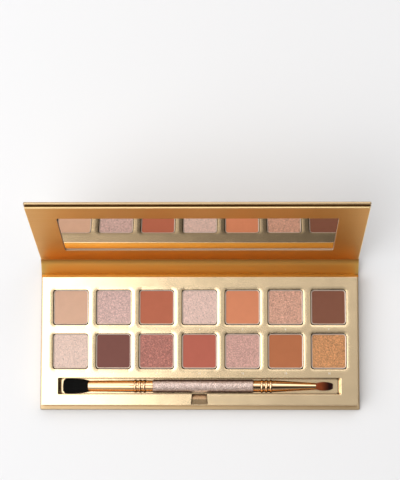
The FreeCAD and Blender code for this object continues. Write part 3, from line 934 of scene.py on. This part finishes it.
def tuft_tree():
    """A tuft of tapered bristles that spread from a ferrule's mouth and end in a round crown."""
    tree, given = tree_with_inputs("bristle_tuft", [
        ("Strands", "Int"), ("Length", "Float"), ("Root", "Float"), ("Mouth Radius", "Float"),
        ("Belly Radius", "Float"), ("Flatness", "Float"), ("Crown", "Float"), ("Point", "Float"),
        ("Swell", "Float"), ("Strand Radius", "Float"), ("Seed", "Int"), ("Material", "Material")])
    plus, minus, times, power = math_tools(tree)
    points = add_node(tree, "GeometryNodePoints", {"Count": given["Strands"]}).outputs["Geometry"]
    drawn = {"spread": power(random_value(tree, 0.0, 1.0, given["Seed"]), 0.5),
             "angle": random_value(tree, 0.0, 2.0 * math.pi, plus(given["Seed"], 1.0)),
             "ragged": random_value(tree, 0.94, 1.0, plus(given["Seed"], 2.0))}
    for title, value in drawn.items():
        points = add_node(tree, "GeometryNodeStoreNamedAttribute",
                          {"Geometry": points, "Name": title, "Value": value},
                          data_type="FLOAT", domain="POINT").outputs["Geometry"]
    line = add_node(tree, "GeometryNodeCurvePrimitiveLine", {"End": (1.0, 0.0, 0.0)})
    strand = add_node(tree, "GeometryNodeResampleCurve", {"Curve": line.outputs["Curve"], "Count": 9})
    strands = add_node(tree, "GeometryNodeInstanceOnPoints",
                       {"Points": points, "Instance": strand.outputs["Curve"]})
    curves = add_node(tree, "GeometryNodeRealizeInstances", {"Geometry": strands.outputs["Instances"]})
    share = add_node(tree, "GeometryNodeSplineParameter").outputs["Factor"]
    spread, angle, ragged = [add_node(tree, "GeometryNodeInputNamedAttribute", {"Name": title},
                                      data_type="FLOAT").outputs["Attribute"] for title in drawn]
    full = times(minus(1.0, times(given["Crown"], power(spread, 7.0))), ragged)
    reach = plus(times(given["Length"], full), given["Root"])
    along = minus(times(reach, share), given["Root"])
    out = remap(tree, along, 0.0, given["Length"], 0.0, 1.0)
    swell = math_value(tree, "SINE", times(power(out, given["Swell"]), given["Point"]))
    room = minus(given["Belly Radius"], given["Mouth Radius"])
    radius = times(plus(given["Mouth Radius"], times(room, swell)), spread)
    side = times(radius, math_value(tree, "COSINE", angle))
    rise = times(times(radius, given["Flatness"]), math_value(tree, "SINE", angle))
    place = add_node(tree, "ShaderNodeCombineXYZ", {"X": along, "Y": side, "Z": rise})
    bent = add_node(tree, "GeometryNodeSetPosition",
                    {"Geometry": curves.outputs["Geometry"], "Position": place.outputs["Vector"]})
    taper = minus(1.0, times(share, 0.7))
    thick = add_node(tree, "GeometryNodeSetCurveRadius",
                     {"Curve": bent.outputs["Geometry"], "Radius": taper})
    ring = add_node(tree, "GeometryNodeCurvePrimitiveCircle",
                    {"Resolution": 4, "Radius": given["Strand Radius"]})
    tubes = add_node(tree, "GeometryNodeCurveToMesh",
                     {"Curve": thick.outputs["Curve"], "Profile Curve": ring.outputs["Curve"],
                      "Scale": taper, "Fill Caps": True})
    end_tree(tree, given, tubes.outputs["Mesh"])
    return tree


class PALETTE_OT_bristles(bpy.types.Operator):
    """Grow the brush's two bristle tufts out of their ferrules"""

    bl_idname = "palette.bristles"
    bl_label = "Bristles"

    def execute(self, context):
        colors = context.scene.palette_colors
        tree = tuft_tree()
        wide = {"Strands": 2200, "Mouth Radius": 2.7 * MM, "Crown": 0.12, "Point": 1.8, "Swell": 0.48,
                "Seed": 11}
        narrow = {"Strands": 900, "Mouth Radius": 1.5 * MM, "Crown": 0.58, "Point": 2.15, "Swell": 0.7,
                  "Seed": 23}
        self.make_tuft(context, tree, "wide", "black_bristle", wide, colors.wide_bristle, colors.wide_bristle)
        self.make_tuft(context, tree, "narrow", "brown_bristle", narrow, colors.narrow_bristle,
                       colors.narrow_tip)
        return {"FINISHED"}

    def make_tuft(self, context, tree, name, slot, values, root_color, tip_color):
        """One tuft along X, out of the end of its ferrule."""
        low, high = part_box(name + "_bristles")
        mouth_low, mouth_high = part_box(name + "_ferrule")
        leftward = low.x < mouth_low.x
        mouth_x = mouth_low.x if leftward else mouth_high.x
        tip_x = low.x if leftward else high.x
        reach = tip_x - mouth_x
        center = (low + high) / 2
        strand = context.scene.palette_sizes.strand_radius
        material = bristle_material(name + "_fibre", root_color, tip_color,
                                    mouth_x + 0.3 * reach, mouth_x + 0.75 * reach)
        values = {**values, "Length": abs(reach) - strand, "Root": 3.0 * MM,
                  "Mouth Radius": values["Mouth Radius"] - strand,
                  "Belly Radius": (high.y - low.y) / 2 - strand,
                  "Flatness": (high.z - low.z) / (high.y - low.y), "Strand Radius": strand,
                  "Material": material}
        mesh = baked_tree(name + "_tuft", bpy.data.meshes.new(name + "_tuft"), tree, values)
        place = Matrix.Translation((mouth_x, center.y, center.z))
        if leftward:
            place = place @ Matrix.Rotation(math.pi, 4, "Z")
        add_piece(name + "_tuft", mesh, material, "brush", [name + "_bristles"], place, False)


class PALETTE_OT_inside(bpy.types.Operator):
    """Finish the pieces that the case hides: boards, magnets, glue and tape"""

    bl_idname = "palette.inside"
    bl_label = "Hidden pieces"

    def execute(self, context):
        board = plain_material("grey_board", (0.60, 0.58, 0.55), 0.85)
        steel = plain_material("magnet_nickel", (0.72, 0.72, 0.74), 0.3, 1.0)
        glue = plain_material("clear_glue", (0.90, 0.89, 0.85), 0.4)
        finishes = {board: ("base_board", "spine_board", "lid_board"),
                    steel: ("tray_magnets", "lid_magnets"),
                    glue: ("pan_glue_pads", "mirror_tape")}
        for material, nodes in finishes.items():
            for node in nodes:
                dress_node(node, material)
        return {"FINISHED"}


class PALETTE_OT_stage(bpy.types.Operator):
    """Set the floor, the soft studio light and the camera"""

    bl_idname = "palette.stage"
    bl_label = "Stage"

    def execute(self, context):
        scene = context.scene
        stage = scene.palette_stage
        scene.view_settings.view_transform = "Standard"
        self.make_floor(scene)
        self.make_sky(scene, stage.horizon, stage.zenith)
        self.make_light(scene, "key_light", stage.key_power, place=(-0.79, -0.15, 1.15), size=(1.5, 1.6))
        self.make_light(scene, "back_light", stage.back_power, place=(0.1, 0.66, 1.08), size=(1.1, 0.75))
        self.make_camera(scene, stage)
        return {"FINISHED"}

    def make_floor(self, scene):
        """A plain pale square, a hair below the palette."""
        half = 1.3
        drop = 0.05 * MM
        corners = [(-half, -half, -drop), (half, -half, -drop), (half, half, -drop), (-half, half, -drop)]
        mesh = bpy.data.meshes.new("floor")
        mesh.from_pydata(corners, [], [(0, 1, 2, 3)])
        material = new_material("pale_floor", base_color=linear(scene.palette_colors.floor), roughness=0.9,
                                specular_ior_level=0.1)[0]
        mesh.materials.append(material)
        floor = bpy.data.objects.new("floor", mesh)
        scene.collection.objects.link(floor)

    def make_sky(self, scene, horizon, zenith):
        """A plain studio dome, brighter overhead, dimmer over the front and pale to the camera.

        The dim part is a band across the front, less dim at its left than at its right.
        """
        band_foot = (-0.86, -0.75)
        band_middle = (-0.58, -0.48)
        band_top = (-0.14, -0.05)
        left_to_right = (-0.11, 0.01)
        seen_level = 0.9
        world = bpy.data.worlds.new("studio")
        world.use_nodes = True
        tree = world.node_tree
        plus, minus, times = math_tools(tree)[:3]
        background = tree.nodes["Background"]
        background.inputs["Color"].default_value = (1.0, 0.99, 0.975, 1.0)
        direction = add_node(tree, "ShaderNodeTexCoord").outputs["Generated"]
        parts = add_node(tree, "ShaderNodeSeparateXYZ", {"Vector": direction}).outputs
        level = remap(tree, parts["Z"], 0.2, 0.95, horizon, zenith)
        upper = remap(tree, parts["X"], *left_to_right, 0.6, 0.05)
        lower = remap(tree, parts["X"], *left_to_right, 1.1, 0.25)
        turn = remap(tree, parts["Y"], *band_middle, 1.0, 0.0)
        kept = plus(upper, times(turn, minus(lower, upper)))
        band = times(remap(tree, parts["Y"], *band_foot, 0.0, 1.0),
                     remap(tree, parts["Y"], *band_top, 1.0, 0.0))
        light = times(level, minus(1.0, times(band, minus(1.0, kept))))
        seen = add_node(tree, "ShaderNodeLightPath").outputs["Is Camera Ray"]
        strength = plus(times(seen, seen_level), times(light, minus(1.0, seen)))
        tree.links.new(strength, background.inputs["Strength"])
        scene.world = world

    def make_light(self, scene, name, power, place, size):
        """A rectangular soft light that faces the palette."""
        data = bpy.data.lights.new(name, "AREA")
        data.shape = "RECTANGLE"
        data.size = size[0]
        data.size_y = size[1]
        data.energy = power
        light = bpy.data.objects.new(name, data)
        light.location = place
        light.rotation_euler = (-Vector(place)).to_track_quat("-Z", "Y").to_euler()
        scene.collection.objects.link(light)

    def make_camera(self, scene, stage):
        """The photograph's camera, high over the palette."""
        data = bpy.data.cameras.new("camera")
        data.lens = stage.lens
        data.sensor_width = 36.0
        data.clip_start = 0.01
        camera = bpy.data.objects.new("camera", data)
        tilt, sideways, roll = stage.camera_turn
        turn = (Matrix.Rotation(tilt, 3, "X") @ Matrix.Rotation(sideways, 3, "Y")
                @ Matrix.Rotation(roll, 3, "Z"))
        camera.location = stage.camera_place
        camera.rotation_euler = turn.to_euler()
        scene.collection.objects.link(camera)
        scene.camera = camera


class PALETTE_PT_panel(bpy.types.Panel):
    """Lists the steps that dress the palette"""

    bl_idname = "PALETTE_PT_panel"
    bl_label = "Eyeshadow palette"
    bl_space_type = "VIEW_3D"
    bl_region_type = "UI"
    bl_category = "Palette"

    def draw(self, context):
        for step in STEPS:
            self.layout.operator(step.bl_idname, text=step.bl_label)
        for group in (getattr(context.scene, key) for key in GROUPS):
            column = self.layout.column()
            for key in group.bl_rna.properties.keys():
                if key not in ("rna_type", "name"):
                    column.prop(group, key)


GROUPS = {"palette_sizes": PaletteSizes, "palette_colors": PaletteColors, "palette_stage": PaletteStage}
STEPS = (PALETTE_OT_case, PALETTE_OT_folds, PALETTE_OT_liner, PALETTE_OT_mirror, PALETTE_OT_tray,
         PALETTE_OT_numbers, PALETTE_OT_pans, PALETTE_OT_powders, PALETTE_OT_brush, PALETTE_OT_bristles,
         PALETTE_OT_inside, PALETTE_OT_stage)


def register():
    for group in GROUPS.values():
        bpy.utils.register_class(group)
    for step in STEPS:
        bpy.utils.register_class(step)
    bpy.utils.register_class(PALETTE_PT_panel)
    for key, group in GROUPS.items():
        setattr(bpy.types.Scene, key, bpy.props.PointerProperty(type=group))


def unregister():
    for key in GROUPS:
        delattr(bpy.types.Scene, key)
    bpy.utils.unregister_class(PALETTE_PT_panel)
    for item in reversed((*GROUPS.values(), *STEPS)):
        bpy.utils.unregister_class(item)


def main():
    """Register the add-on and dress the palette step by step."""
    register()
    bpy.ops.palette.case()
    bpy.ops.palette.folds()
    bpy.ops.palette.liner()
    bpy.ops.palette.mirror()
    bpy.ops.palette.tray()
    bpy.ops.palette.numbers()
    bpy.ops.palette.pans()
    bpy.ops.palette.powders()
    bpy.ops.palette.brush()
    bpy.ops.palette.bristles()
    bpy.ops.palette.inside()
    bpy.ops.palette.stage()


if __name__ == "__main__":
    main()
